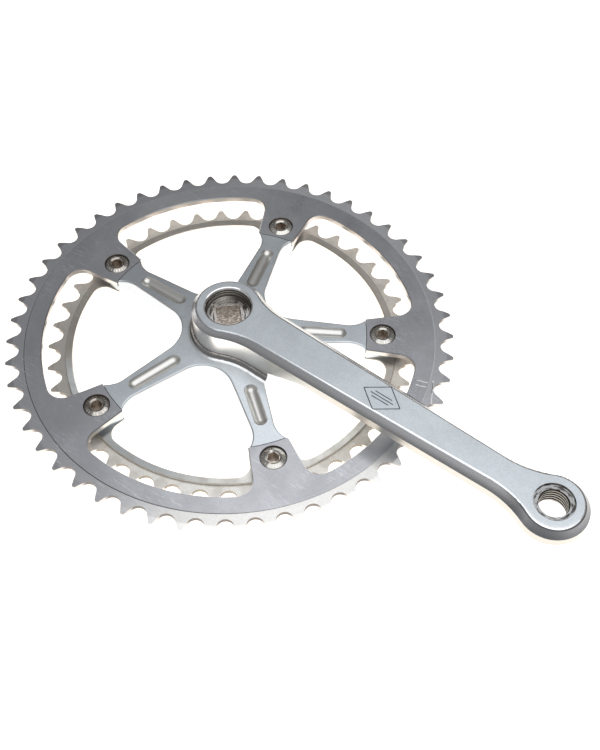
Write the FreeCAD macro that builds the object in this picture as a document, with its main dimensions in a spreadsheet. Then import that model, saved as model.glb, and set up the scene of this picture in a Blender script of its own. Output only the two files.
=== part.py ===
"""Right-hand road crank with a forged five-arm spider, two chainrings and five sets of chainring bolts.

Frame: millimetres, +Z along the spindle axis and outboard, +X from the spindle to the pedal eye.
The origin is on the spindle axis, in the inboard end face of the crank's hub boss.
"""
import FreeCAD, Part
import os
from math import atan2, cos, hypot, radians, sin, sqrt

import Sketcher

Vector = FreeCAD.Vector
Z_AXIS = Vector(0, 0, 1)

# Driving dimensions: alias, value in millimetres (or degrees, or a count), what it measures.
DIMENSIONS = [
    ("crank_length", 170, "spindle axis to pedal axis"),
    ("face_height", 32.4, "outer face of the arm"),
    ("hub_face_radius", 14.8, "flat face around the extractor hole"),
    ("hub_wall_radius", 17.1, "hub boss below its bevel"),
    ("eye_face_radius", 12.85, "flat face around the pedal hole"),
    ("eye_wall_radius", 15.4, "pedal eye below its bevel"),
    ("face_offset_hub", 9.43, "flat face's edge line, distance from the spindle axis"),
    ("face_offset_eye", 5.81, "flat face's edge line, distance from the pedal axis"),
    ("wall_offset_hub", 12.47, "side wall's line, distance from the spindle axis"),
    ("wall_offset_eye", 8.92, "side wall's line, distance from the pedal axis"),
    ("hub_blend_radius", 36, "concave curve from the boss to the arm"),
    ("eye_blend_radius", 42, "concave curve from the arm to the pedal eye"),
    ("bevel_height_hub", 29.5, "lower edge of the outer bevel, at the spindle axis"),
    ("bevel_height_eye", 28.3, "the same at the pedal axis"),
    ("wall_depth", 4.1, "height of the side wall between its two bevels"),
    ("underside_height", 21.3, "inboard face of the arm"),
    ("root_end", 31.5, "where the webs to the spider end"),
    ("root_underside", 15.0, "arm's underside where the ramp starts"),
    ("ramp_end", 50, "where the ramp meets the arm's underside"),
    ("under_bevel_width", 3.05, "width of the arm's inboard bevels"),
    ("under_bevel_height", 3.9, "height of the arm's inboard bevels"),
    ("arm_edge_radius", 1.2, "rounding of the arm's outer edges"),
    ("foot_radius", 3.1, "concave fillet where the boss meets the spider"),
    ("inboard_boss_radius", 15.5, "hub boss behind the spider"),
    ("inboard_boss_fillet", 2.4, "fillet from that boss to the spider's back"),
    ("inboard_boss_chamfer", 0.8, "chamfer at the boss's end"),
    ("spider_arms", 5, "number of spider arms"),
    ("first_arm_angle", 36, "angle from the crank arm to the next spider arm"),
    ("spider_back", 5.9, "inboard face of the spider"),
    ("spider_root_half_width", 9.65, "spider arm's flank line at the spindle axis"),
    ("waist_radius", 54.8, "where the arm starts to flare to its pad"),
    ("waist_half_width", 5.4, "half width there"),
    ("seat_radius", 64.3, "step that the outer ring's tabs sit against"),
    ("pad_half_width", 9.1, "half width of the pad at that step"),
    ("pad_end_radius", 80.5, "outer end of the pad"),
    ("pad_end_half_width", 8.8, "half width of the pad at its end"),
    ("seat_height", 9.1, "face that the outer ring is bolted to"),
    ("flush_height", 12.4, "outer face of the spider arm at the step, level with the ring"),
    ("hub_rise", 4.18, "rise of the spider's conical outer face from the step to the axis"),
    ("window_radius", 15, "fillet between two spider arms"),
    ("web_half_width", 17.5, "web between the crank arm and the nearest spider arms"),
    ("spider_edge_radius", 0.8, "rounding of the spider's edges"),
    ("slot_start", 28, "inner end of a decorative groove"),
    ("slot_start_near_web", 33, "the same, on the two arms beside the crank arm"),
    ("slot_end", 55, "outer end of a groove"),
    ("slot_cutter_radius", 3.7, "round-nosed cutter of the groove"),
    ("slot_depth", 1.75, "depth of the groove"),
    ("extractor_radius", 10.46, "minor radius of the M22 x 1 extractor thread"),
    ("extractor_mouth_radius", 11.4, "outer edge of its rounded mouth"),
    ("extractor_mouth_fall", 0.2, "fall across the outer half of the mouth"),
    ("extractor_mouth_depth", 0.75, "depth where the mouth meets the thread"),
    ("extractor_depth", 4.4, "threaded depth"),
    ("relief_radius", 9.5, "first step below the thread"),
    ("relief_depth", 5.7, "depth of that step from the face"),
    ("washer_seat_radius", 8.6, "seat of the spindle bolt's washer"),
    ("washer_seat_depth", 7.0, "depth of the seat from the face"),
    ("square_outer", 11.3, "across the flats of the spindle square, outer end"),
    ("square_inner", 12.9, "across the flats of the spindle square, inboard end"),
    ("square_corner", 1.5, "corner radius of the square"),
    ("inboard_counterbore_radius", 9.5, "recess at the inboard end of the square"),
    ("inboard_counterbore_depth", 2.4, "its depth"),
    ("pedal_radius", 6.6, "minor radius of the 9/16 inch x 20 pedal thread"),
    ("pedal_seat_radius", 8.85, "recess for the pedal spindle's shoulder"),
    ("pedal_seat_depth", 0.9, "its depth"),
    ("pedal_chamfer", 0.7, "chamfer at the thread's inboard end"),
    ("bolt_circle_radius", 72, "circle of the chainring bolts"),
    ("ring_hole_radius", 5.05, "holes in the pads and rings"),
    ("chain_pitch", 12.7, "pitch of the chain"),
    ("roller_seat_radius", 4.0, "arc that a chain roller sits in"),
    ("tooth_flank_angle", 28.7, "angle of a tooth's flank from its centre line"),
    ("tooth_height", 2.3, "tip above the pitch circle"),
    ("tooth_tip_rounding", 0.85, "rounding of a tooth's tip corners"),
    ("tooth_tip_taper", 0.5, "how much each side of a tooth thins at its tip"),
    ("tooth_taper_length", 3.2, "length of that thinning"),
    ("outer_teeth", 51, "teeth of the outer ring"),
    ("outer_first_gap", 4.16, "angle of the outer ring's first tooth gap"),
    ("outer_ring_front", 12.4, "outer face of the outer ring"),
    ("outer_band_front", 12.2, "outer face of its toothed band"),
    ("outer_band_back", 10.15, "inboard face of its toothed band"),
    ("outer_step_radius", 96.6, "machined step inside the toothed band"),
    ("outer_inner_radius", 88.5, "inner edge of the ring between its tabs"),
    ("outer_tab_radius", 64.6, "inner end of a tab"),
    ("outer_tab_half_width", 9.3, "half width of a tab at the spider's step"),
    ("outer_tab_end_half_width", 11.8, "half width of a tab at the pad's end"),
    ("outer_corner_radius", 7.5, "fillet between a tab and the ring"),
    ("ring_edge_chamfer", 0.4, "chamfer around the windows of a ring"),
    ("inner_teeth", 42, "teeth of the inner ring"),
    ("inner_first_gap", 8.09, "angle of the inner ring's first tooth gap"),
    ("inner_ring_back", 2.4, "inboard face of the inner ring"),
    ("inner_band_front", 4.45, "outer face of its toothed band"),
    ("inner_step_radius", 78.5, "machined step inside the toothed band"),
    ("inner_inner_radius", 75.3, "inner edge of the ring between its tabs"),
    ("inner_tab_radius", 64.3, "inner end of a tab"),
    ("inner_tab_half_width", 9.3, "half width of a tab at the spider's step"),
    ("inner_tab_end_half_width", 11.8, "half width of a tab at the pad's end"),
    ("inner_corner_radius", 6, "fillet between a tab and the ring"),
    ("head_radius", 5.85, "bolt head"),
    ("head_recess_radius", 6.15, "recess for the head in the outer ring"),
    ("head_recess_depth", 2.2, "depth of that recess"),
    ("head_rim_thickness", 1.7, "thickness of the head at its rim"),
    ("head_crown", 0.9, "rise of the head from its rim to the socket"),
    ("socket_flats", 5.0, "hexagon socket, across the flats"),
    ("socket_depth", 4.2, "depth of the socket"),
    ("socket_mouth_radius", 3.7, "bevel around the socket's mouth"),
    ("socket_mouth_depth", 0.5, "its depth"),
    ("bolt_shank_radius", 3.95, "M8 threaded shank"),
    ("bolt_length", 7.6, "length of the shank under the head"),
    ("nut_bore_radius", 4.0, "M8 thread in the sleeve nut"),
    ("nut_sleeve_radius", 5.0, "sleeve that centres both rings"),
    ("nut_head_radius", 6.4, "slotted head of the sleeve nut"),
    ("nut_head_thickness", 1.8, "thickness of that head"),
    ("nut_recess_radius", 6.55, "recess for the head in the inner ring"),
    ("nut_recess_depth", 1.2, "depth of that recess"),
    ("nut_slot_width", 2.0, "slot for a pin spanner"),
    ("nut_slot_depth", 1.0, "depth of that slot"),
    ("sleeve_gap", 0.3, "gap between the sleeve's end and the bolt's head"),
]

doc = FreeCAD.newDocument("crankset")
dims = doc.addObject("Spreadsheet::Sheet", "dims")
for row, (alias, number, meaning) in enumerate(DIMENSIONS, start=1):
    dims.set(f"A{row}", meaning)
    dims.set(f"B{row}", str(number))
    dims.setAlias(f"B{row}", alias)
doc.recompute()


def value(expression):
    """The number that an expression over the spreadsheet gives."""
    result = dims.evalExpression(expression)
    return float(getattr(result, "Value", result))


# Sketches -------------------------------------------------------------------------------------------

UPRIGHT = FreeCAD.Rotation(Vector(1, 0, 0), 90)


def origin_feature(body, role):
    return next(f for f in body.Origin.OriginFeatures if f.Role == role)


def flat_sketch(name, height, body=None, turn=0.0):
    """A sketch parallel to XY at a height, turned about Z, in a body or free in the document."""
    placement = FreeCAD.Placement(Vector(0, 0, value(height)), FreeCAD.Rotation(Z_AXIS, turn))
    if body is None:
        sketch = doc.addObject("Sketcher::SketchObject", name)
        sketch.Placement = placement
        sketch.setExpression("Placement.Base.z", height)
        return sketch
    sketch = body.newObject("Sketcher::SketchObject", name)
    sketch.AttachmentSupport = [(origin_feature(body, "XY_Plane"), "")]
    sketch.MapMode = "FlatFace"
    sketch.AttachmentOffset = placement
    sketch.setExpression("AttachmentOffset.Base.z", height)
    return sketch


def upright_sketch(name, body=None, turn=0.0):
    """A sketch in the XZ plane turned about Z: its x runs away from the axis and its y is up."""
    if body is None:
        sketch = doc.addObject("Sketcher::SketchObject", name)
        sketch.Placement = FreeCAD.Placement(Vector(), FreeCAD.Rotation(Z_AXIS, turn) * UPRIGHT)
        return sketch
    sketch = body.newObject("Sketcher::SketchObject", name)
    sketch.AttachmentSupport = [(origin_feature(body, "XZ_Plane"), "")]
    sketch.MapMode = "FlatFace"
    sketch.AttachmentOffset = FreeCAD.Placement(Vector(), FreeCAD.Rotation(Vector(0, 1, 0), turn))
    return sketch


def bind(sketch, kind, *references, to):
    """A dimensional constraint whose size is an expression."""
    index = sketch.addConstraint(Sketcher.Constraint(kind, *references, value(to)))
    sketch.setExpression(f"Constraints[{index}]", to)


def fix_point(sketch, geometry, end, place):
    """Holds one end of a line or arc at the place that two expressions give."""
    bind(sketch, "DistanceX", -1, 1, geometry, end, to=place[0])
    bind(sketch, "DistanceY", -1, 1, geometry, end, to=place[1])


def add_line(sketch, start, end):
    """A straight piece of an outline: its index, and the ends where the path enters and leaves it."""
    return sketch.addGeometry(Part.LineSegment(start, end)), 1, 2


def add_arc(sketch, centre, start, end, clockwise=False):
    """An arc of an outline, described as add_line describes a line."""
    first, last = (end, start) if clockwise else (start, end)
    angles = [atan2(p.y - centre.y, p.x - centre.x) for p in (first, last)]
    circle = Part.Circle(centre, Z_AXIS, (start - centre).Length)
    index = sketch.addGeometry(Part.ArcOfCircle(circle, *angles))
    return (index, 2, 1) if clockwise else (index, 1, 2)


def close_outline(sketch, pieces, corners=()):
    """Joins each piece to the next: smoothly, or as a plain corner after the pieces numbered in corners."""
    following = pieces[1:] + pieces[:1]
    for number, ((one, _, leaves), (other, enters, _)) in enumerate(zip(pieces, following)):
        kind = "Coincident" if number in corners else "Tangent"
        sketch.addConstraint(Sketcher.Constraint(kind, one, leaves, other, enters))


def polygon(sketch, places):
    """A closed outline of straight lines between places, each a pair of expressions."""
    points = [Vector(value(x), value(y), 0) for x, y in places]
    pieces = [add_line(sketch, a, b) for a, b in zip(points, points[1:] + points[:1])]
    close_outline(sketch, pieces, corners=range(len(pieces)))
    for (index, enters, _), place in zip(pieces, places):
        fix_point(sketch, index, enters, place)


def add_circle(sketch, centre, radius):
    """A circle held by expressions."""
    place = Vector(value(centre[0]), value(centre[1]), 0)
    index = sketch.addGeometry(Part.Circle(place, Z_AXIS, value(radius)))
    fix_point(sketch, index, 3, centre)
    bind(sketch, "Radius", index, to=radius)


# Features -------------------------------------------------------------------------------------------

def feature(kind, name, sizes=(), **settings):
    """A document object with plain settings, and sizes bound to expressions."""
    made = doc.addObject(kind, name)
    for setting, content in settings.items():
        setattr(made, setting, content)
    for size, expression in dict(sizes).items():
        made.setExpression(size, expression)
    return made


def body_feature(body, kind, name, sizes=(), **settings):
    """The same for a PartDesign feature, which becomes the body's tip."""
    made = body.newObject(kind, name)
    for setting, content in settings.items():
        setattr(made, setting, content)
    for size, expression in dict(sizes).items():
        made.setExpression(size, expression)
    body.Tip = made
    return made


def around_axis(body, kind, name, sketch):
    """A full turn of a profile about the sketch's own vertical axis."""
    return body_feature(body, kind, name, Profile=sketch, ReferenceAxis=(sketch, ["V_Axis"]), Angle=360)


def pattern(body, name, originals, count):
    """The originals repeated around Z."""
    return body_feature(body, "PartDesign::PolarPattern", name, {"Occurrences": count}, Originals=originals,
                        Axis=(origin_feature(body, "Z_Axis"), [""]), Angle=360)


def edges_where(shape, wanted):
    """Names of a shape's edges that a test picks."""
    return [f"Edge{number}" for number, edge in enumerate(shape.Edges, start=1) if wanted(edge)]


def middle(edge):
    """The point halfway along an edge."""
    return edge.valueAt((edge.FirstParameter + edge.LastParameter) / 2)


def from_axis(point):
    return hypot(point.x, point.y)


# Crank arm ------------------------------------------------------------------------------------------

def arm_outline(sketch, boss, eye, hub_offset, eye_offset):
    """The arm in plan: boss, pedal eye, two straight flanks, and the concave curves that join them."""
    length = value("dims.crank_length")
    hub_blend, eye_blend = value("dims.hub_blend_radius"), value("dims.eye_blend_radius")
    boss_radius, eye_radius, offset = value(boss), value(eye), value(hub_offset)
    lean = (offset - value(eye_offset)) / length
    along = Vector(sqrt(1 - lean**2), -lean, 0)
    across = Vector(lean, along.x, 0)
    axle, pedal = Vector(), Vector(length, 0, 0)

    hub_reach = sqrt((boss_radius + hub_blend) ** 2 - (offset + hub_blend) ** 2)
    hub_centre = across * (offset + hub_blend) + along * hub_reach
    on_boss = hub_centre * (boss_radius / (boss_radius + hub_blend))
    hub_end = hub_centre - across * hub_blend

    eye_rise = offset + eye_blend - pedal.dot(across)
    eye_reach = pedal.dot(along) - sqrt((eye_radius + eye_blend) ** 2 - eye_rise**2)
    eye_centre = across * (offset + eye_blend) + along * eye_reach
    on_eye = pedal + (eye_centre - pedal) * (eye_radius / (eye_radius + eye_blend))
    eye_end = eye_centre - across * eye_blend

    def low(point):
        return Vector(point.x, -point.y, 0)

    pieces = [
        add_arc(sketch, pedal, low(on_eye), on_eye),
        add_arc(sketch, eye_centre, on_eye, eye_end, clockwise=True),
        add_line(sketch, eye_end, hub_end),
        add_arc(sketch, hub_centre, hub_end, on_boss, clockwise=True),
        add_arc(sketch, axle, on_boss, low(on_boss)),
        add_arc(sketch, low(hub_centre), low(on_boss), low(hub_end), clockwise=True),
        add_line(sketch, low(hub_end), low(eye_end)),
        add_arc(sketch, low(eye_centre), low(eye_end), low(on_eye), clockwise=True),
    ]
    eye_arc, upper_eye, upper_flank, upper_hub, boss_arc, lower_hub, lower_flank, lower_eye = (
        piece[0] for piece in pieces
    )
    close_outline(sketch, pieces)
    sketch.addConstraint(Sketcher.Constraint("Coincident", boss_arc, 3, -1, 1))
    bind(sketch, "Radius", boss_arc, to=boss)
    fix_point(sketch, eye_arc, 3, ("dims.crank_length", "0"))
    bind(sketch, "Radius", eye_arc, to=eye)
    for arc in (upper_hub, lower_hub):
        bind(sketch, "Radius", arc, to="dims.hub_blend_radius")
    for arc in (upper_eye, lower_eye):
        bind(sketch, "Radius", arc, to="dims.eye_blend_radius")
    for line in (upper_flank, lower_flank):
        bind(sketch, "Distance", -1, 1, line, to=hub_offset)
        bind(sketch, "Distance", eye_arc, 3, line, to=eye_offset)


FACE = ("dims.hub_face_radius", "dims.eye_face_radius", "dims.face_offset_hub", "dims.face_offset_eye")
WALL = ("dims.hub_wall_radius", "dims.eye_wall_radius", "dims.wall_offset_hub", "dims.wall_offset_eye")
CLEAR_TOP = "(2 * dims.face_height)"


def beyond(hub_share, eye_share):
    """An outline on the bevel's slope: 0 gives the face's outline, 1 the wall's, more lies outside it."""
    shares = (hub_share, eye_share, hub_share, eye_share)
    return [f"{face} + ({wall} - {face}) * {share}" for face, wall, share in zip(FACE, WALL, shares)]


def bevel_envelope(name, levels):
    """A solid through arm outlines given as (height, outline)."""
    sections = []
    for number, (height, outline) in enumerate(levels, start=1):
        section = flat_sketch(f"{name}_{number}", height)
        arm_outline(section, *outline)
        sections.append(section)
    return feature("Part::Loft", name, Sections=sections, Solid=True, Ruled=True)


def ramp_section(name, distance, underside):
    """Across the arm: its underside, the two inboard bevels carried past the walls, and a high top."""
    lean = "((dims.wall_offset_hub - dims.wall_offset_eye) / dims.crank_length)"
    wall = f"(dims.wall_offset_hub - {distance} * {lean}) / sqrt(1 - {lean}^2)"
    bottom = f"({wall} - dims.under_bevel_width)"
    side = f"({bottom} + 3 * dims.under_bevel_width)"
    knee = f"({underside} + 3 * dims.under_bevel_height)"
    sketch = doc.addObject("Sketcher::SketchObject", name)
    turned = FreeCAD.Rotation(Z_AXIS, 90) * UPRIGHT
    sketch.Placement = FreeCAD.Placement(Vector(value(distance), 0, 0), turned)
    sketch.setExpression("Placement.Base.x", distance)
    right = [(bottom, underside), (side, knee), (side, f"{CLEAR_TOP} + {knee}")]
    polygon(sketch, right + [(f"-{x}", y) for x, y in reversed(right)])
    return sketch


def make_arm():
    """The arm from its face down to its underside, deeper where it stands on the spider."""
    plan = flat_sketch("wall_outline", "dims.spider_back")
    arm_outline(plan, *WALL)
    walls = feature("Part::Extrusion", "arm_walls", {"LengthFwd": "dims.face_height - dims.spider_back"},
                    Base=plan, Dir=Z_AXIS, DirMode="Custom", Solid=True)

    top_hub = "(dims.face_height - dims.bevel_height_hub)"
    top_eye = "(dims.face_height - dims.bevel_height_eye)"
    below = beyond("2", f"(2 * {top_hub} / {top_eye})")
    outer_bevel = bevel_envelope("outer_bevel", [
        ("dims.face_height", FACE),
        (f"dims.face_height - 2 * {top_hub}", below),
        ("0", below),
    ])
    low_hub = "(dims.bevel_height_hub - dims.wall_depth - dims.underside_height)"
    low_eye = "(dims.bevel_height_eye - dims.wall_depth - dims.underside_height)"
    above = beyond("2", f"(2 * {low_hub} / {low_eye})")
    inboard_bevel = bevel_envelope("inboard_bevel", [
        ("dims.underside_height", FACE),
        (f"dims.underside_height + 2 * {low_hub}", above),
        (CLEAR_TOP, above),
    ])
    block = feature("Part::Box", "root_block", {
        "Length": "dims.root_end + 2 * dims.hub_wall_radius",
        "Width": "4 * dims.hub_wall_radius",
        "Height": CLEAR_TOP,
        "Placement.Base.x": "-2 * dims.hub_wall_radius",
        "Placement.Base.y": "-2 * dims.hub_wall_radius",
    })
    steepness = "((dims.underside_height - dims.root_underside) / (dims.ramp_end - dims.root_end))"
    far_end = "(2 * dims.ramp_end - dims.root_end)"
    ramp = feature("Part::Loft", "root_ramp", Solid=True, Ruled=True, Sections=[
        ramp_section("ramp_start", "(dims.root_end - 1)", f"(dims.root_underside - {steepness})"),
        ramp_section("ramp_finish", far_end, "(2 * dims.underside_height - dims.root_underside)"),
    ])
    depths = feature("Part::MultiFuse", "arm_depths", Shapes=[inboard_bevel, block, ramp])
    return feature("Part::MultiCommon", "arm", Shapes=[walls, outer_bevel, depths])


def make_inboard_boss():
    boss = feature("Part::Cylinder", "boss_blank", {
        "Radius": "dims.inboard_boss_radius",
        "Height": "dims.seat_height",
    })
    doc.recompute()
    chamfer = feature("Part::Chamfer", "inboard_boss", Base=boss)
    size = value("dims.inboard_boss_chamfer")
    rim = edges_where(boss.Shape, lambda edge: edge.BoundBox.ZMax < 1e-6)
    chamfer.Edges = [(int(name[4:]), size, size) for name in rim]
    return chamfer


# Spider ---------------------------------------------------------------------------------------------

def spider_arm_outline(sketch):
    """One spider arm in plan, along its own x axis, with the flare to its pad and the bolt hole."""
    waist = Vector(value("dims.waist_radius"), value("dims.waist_half_width"), 0)
    step = Vector(value("dims.seat_radius"), value("dims.pad_half_width"), 0)
    end = Vector(value("dims.pad_end_radius"), value("dims.pad_end_half_width"), 0)
    root = Vector(0, value("dims.spider_root_half_width"), 0)
    along = (waist - root).normalize()
    normal = Vector(-along.y, along.x, 0)
    chord = step - waist
    flare = waist + normal * (chord.dot(chord) / (2 * chord.dot(normal)))

    def low(point):
        return Vector(point.x, -point.y, 0)

    pieces = [
        add_line(sketch, low(root), low(waist)),
        add_arc(sketch, low(flare), low(waist), low(step), clockwise=True),
        add_line(sketch, low(step), low(end)),
        add_line(sketch, low(end), end),
        add_line(sketch, end, step),
        add_arc(sketch, flare, step, waist, clockwise=True),
        add_line(sketch, waist, root),
        add_line(sketch, root, low(root)),
    ]
    close_outline(sketch, pieces, corners=(1, 2, 3, 4, 6, 7))
    places = [
        ("0", "-dims.spider_root_half_width"),
        ("dims.waist_radius", "-dims.waist_half_width"),
        ("dims.seat_radius", "-dims.pad_half_width"),
        ("dims.pad_end_radius", "-dims.pad_end_half_width"),
        ("dims.pad_end_radius", "dims.pad_end_half_width"),
        ("dims.seat_radius", "dims.pad_half_width"),
        ("dims.waist_radius", "dims.waist_half_width"),
        ("0", "dims.spider_root_half_width"),
    ]
    for (index, enters, _), place in zip(pieces, places):
        fix_point(sketch, index, enters, place)
    add_circle(sketch, ("dims.bolt_circle_radius", "0"), "dims.ring_hole_radius")


def slot_outline(sketch, start, end):
    """Half the path of a round-nosed cutter, in the plane of a spider arm; returns its straight edge."""
    cutter, depth = "dims.slot_cutter_radius", "dims.slot_depth"
    reach = f"sqrt({cutter}^2 - ({cutter} - {depth})^2)"
    fall = "(dims.hub_rise / dims.seat_radius)"
    centres = []
    for distance in (f"({start} + {reach})", f"({end} - {reach})"):
        surface = f"(dims.flush_height + dims.hub_rise - {distance} * {fall})"
        centres.append((distance, f"({surface} + {cutter} - {depth})"))
    first, last = (Vector(value(x), value(y), 0) for x, y in centres)
    along = (last - first).normalize()
    radius = value(cutter)
    down = Vector(along.y, -along.x, 0) * radius
    along = along * radius
    pieces = [
        add_arc(sketch, first, first - along, first + down),
        add_line(sketch, first + down, last + down),
        add_arc(sketch, last, last + down, last + along),
        add_line(sketch, last + along, first - along),
    ]
    close_outline(sketch, pieces, corners=(2, 3))
    axis = pieces[3][0]
    for (arc, _, _), centre in zip(pieces[::2], centres):
        fix_point(sketch, arc, 3, centre)
        bind(sketch, "Radius", arc, to=cutter)
        sketch.addConstraint(Sketcher.Constraint("PointOnObject", arc, 3, axis))
    return f"Edge{axis + 1}"


def make_spider():
    """Five arms and the webs beside the crank arm, under one shallow cone, with a step for the ring."""
    body = doc.addObject("PartDesign::Body", "spider")
    step_angle = 360 / value("dims.spider_arms")
    first_angle, count = value("dims.first_arm_angle"), round(value("dims.spider_arms"))
    arm_angles = [first_angle + step_angle * n for n in range(count)]

    plan = flat_sketch("spider_arm_outline", "dims.spider_back", body, arm_angles[0])
    spider_arm_outline(plan)
    thickness = {"Length": "dims.flush_height + dims.hub_rise - dims.spider_back"}
    arm = body_feature(body, "PartDesign::Pad", "spider_arm", thickness, Profile=plan)
    arms = pattern(body, "spider_arms", [arm], "dims.spider_arms")
    doc.recompute()
    crotches = edges_where(arms.Shape, lambda edge: (
        edge.BoundBox.ZLength > 5 and edge.BoundBox.DiagonalLength - edge.BoundBox.ZLength < 1e-3
        and from_axis(middle(edge)) < value("dims.hub_wall_radius") and middle(edge).x < 10
    ))
    body_feature(body, "PartDesign::Fillet", "window_fillets", {"Radius": "dims.window_radius"},
                 Base=(arms, crotches))

    web_plan = flat_sketch("web_outline", "dims.spider_back", body)
    polygon(web_plan, [
        ("0", "-dims.web_half_width"),
        ("dims.root_end", "-dims.web_half_width"),
        ("dims.root_end", "dims.web_half_width"),
        ("0", "dims.web_half_width"),
    ])
    body_feature(body, "PartDesign::Pad", "webs", thickness, Profile=web_plan)

    cone = upright_sketch("cone_outline", body)
    rim = "(dims.pad_end_radius + dims.seat_radius)"
    polygon(cone, [
        ("0", "dims.flush_height + dims.hub_rise"),
        ("dims.seat_radius", "dims.flush_height"),
        ("dims.seat_radius", "dims.seat_height"),
        (rim, "dims.seat_height"),
        (rim, CLEAR_TOP),
        ("0", CLEAR_TOP),
    ])
    turned = around_axis(body, "PartDesign::Groove", "cone_and_seat", cone)
    doc.recompute()

    def on_cone(point):
        slope = value("dims.hub_rise / dims.seat_radius")
        return abs(point.z - value("dims.flush_height + dims.hub_rise") + slope * from_axis(point)) < 1e-3

    def is_outer_edge(edge):
        radius = from_axis(middle(edge))
        clear_of_step = radius < value("dims.seat_radius") - 1e-3
        beside_arm = abs(middle(edge).x - value("dims.root_end")) < 1e-3 and edge.BoundBox.XLength < 1e-3
        return on_cone(middle(edge)) and clear_of_step and not beside_arm

    body_feature(body, "PartDesign::Fillet", "spider_edges", {"Radius": "dims.spider_edge_radius"},
                 Base=(turned, edges_where(turned.Shape, is_outer_edge)))
    for number, angle in enumerate(arm_angles, start=1):
        start = "dims.slot_start_near_web" if cos(radians(angle)) > 0 else "dims.slot_start"
        path = upright_sketch(f"slot_outline_{number}", body, angle)
        axis = slot_outline(path, start, "dims.slot_end")
        turning = {"Profile": path, "ReferenceAxis": (path, [axis]), "Angle": 360}
        body_feature(body, "PartDesign::Groove", f"slot_{number}", **turning)
    return body


# Crank arm with its spider, holes and fillets -------------------------------------------------------

def turned_cutter(name, places, offset=None):
    """A solid turned from a profile of (radius, height) places, around Z or an axis further along X."""
    profile = upright_sketch(f"{name}_profile")
    turned = feature("Part::Revolution", name, Axis=Z_AXIS, Angle=360, Solid=True)
    if offset:
        profile.Placement.Base = Vector(value(offset), 0, 0)
        profile.setExpression("Placement.Base.x", offset)
        turned.Base = Vector(value(offset), 0, 0)
        turned.setExpression("Base.x", offset)
    polygon(profile, places)
    turned.Source = profile
    return turned


def square_section(name, height, flats):
    """The spindle square's outline, its corners rounded, with its flats at 45 degrees to the arm."""
    sketch = flat_sketch(name, height, turn=45)
    half, corner = value(flats) / 2, value("dims.square_corner")
    pieces = []
    for turn in range(4):
        side = FreeCAD.Rotation(Z_AXIS, 90 * turn)
        start, end = (side.multVec(Vector(half, y, 0)) for y in (corner - half, half - corner))
        centre, finish = (side.multVec(Vector(half - corner, y, 0)) for y in (half - corner, half))
        pieces.append(add_line(sketch, start, end))
        pieces.append(add_arc(sketch, centre, end, finish))
    close_outline(sketch, pieces)
    for number, (index, _, _) in enumerate(pieces[::2]):
        sketch.addConstraint(Sketcher.Constraint("Horizontal" if number % 2 else "Vertical", index))
        bind(sketch, "Distance", -1, 1, index, to=f"({flats}) / 2")
    for index, _, _ in pieces[1::2]:
        bind(sketch, "Radius", index, to="dims.square_corner")
    return sketch


def make_holes():
    face, above = "dims.face_height", CLEAR_TOP
    seat = f"({face} - dims.washer_seat_depth)"
    extractor = turned_cutter("extractor_hole", [
        ("0", above),
        ("dims.extractor_mouth_radius", above),
        ("dims.extractor_mouth_radius", face),
        ("(dims.extractor_mouth_radius + dims.extractor_radius) / 2", f"{face} - dims.extractor_mouth_fall"),
        ("dims.extractor_radius", f"{face} - dims.extractor_mouth_depth"),
        ("dims.extractor_radius", f"{face} - dims.extractor_depth"),
        ("dims.relief_radius", f"{face} - dims.extractor_depth"),
        ("dims.relief_radius", f"{face} - dims.relief_depth"),
        ("dims.washer_seat_radius", f"{face} - dims.relief_depth"),
        ("dims.washer_seat_radius", seat),
        ("0", seat),
    ])
    square = feature("Part::Loft", "spindle_square", Solid=True, Ruled=True, Sections=[
        square_section("square_outer_outline", seat, "dims.square_outer"),
        square_section("square_inner_outline", "0", "dims.square_inner"),
    ])
    counterbore = feature("Part::Cylinder", "inboard_counterbore", {
        "Radius": "dims.inboard_counterbore_radius",
        "Height": "2 * dims.inboard_counterbore_depth",
        "Placement.Base.z": "-dims.inboard_counterbore_depth",
    })
    pedal = turned_cutter("pedal_hole", [
        ("0", above),
        ("dims.pedal_seat_radius", above),
        ("dims.pedal_seat_radius", f"{face} - dims.pedal_seat_depth"),
        ("dims.pedal_radius", f"{face} - dims.pedal_seat_depth"),
        ("dims.pedal_radius", "dims.underside_height + dims.pedal_chamfer"),
        ("dims.pedal_radius + 2 * dims.pedal_chamfer", "dims.underside_height - dims.pedal_chamfer"),
        ("0", "dims.underside_height - dims.pedal_chamfer"),
    ], offset="dims.crank_length")
    return feature("Part::MultiFuse", "crank_holes", Shapes=[extractor, square, counterbore, pedal])


def rounded(name, base, groups):
    """A Part fillet of a solid: each group is a size and a test that picks its edges."""
    doc.recompute()
    made = feature("Part::Fillet", name, Base=base)
    made.Edges = [
        (int(edge[4:]), value(size), value(size))
        for size, wanted in groups for edge in edges_where(base.Shape, wanted)
    ]
    return made


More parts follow.
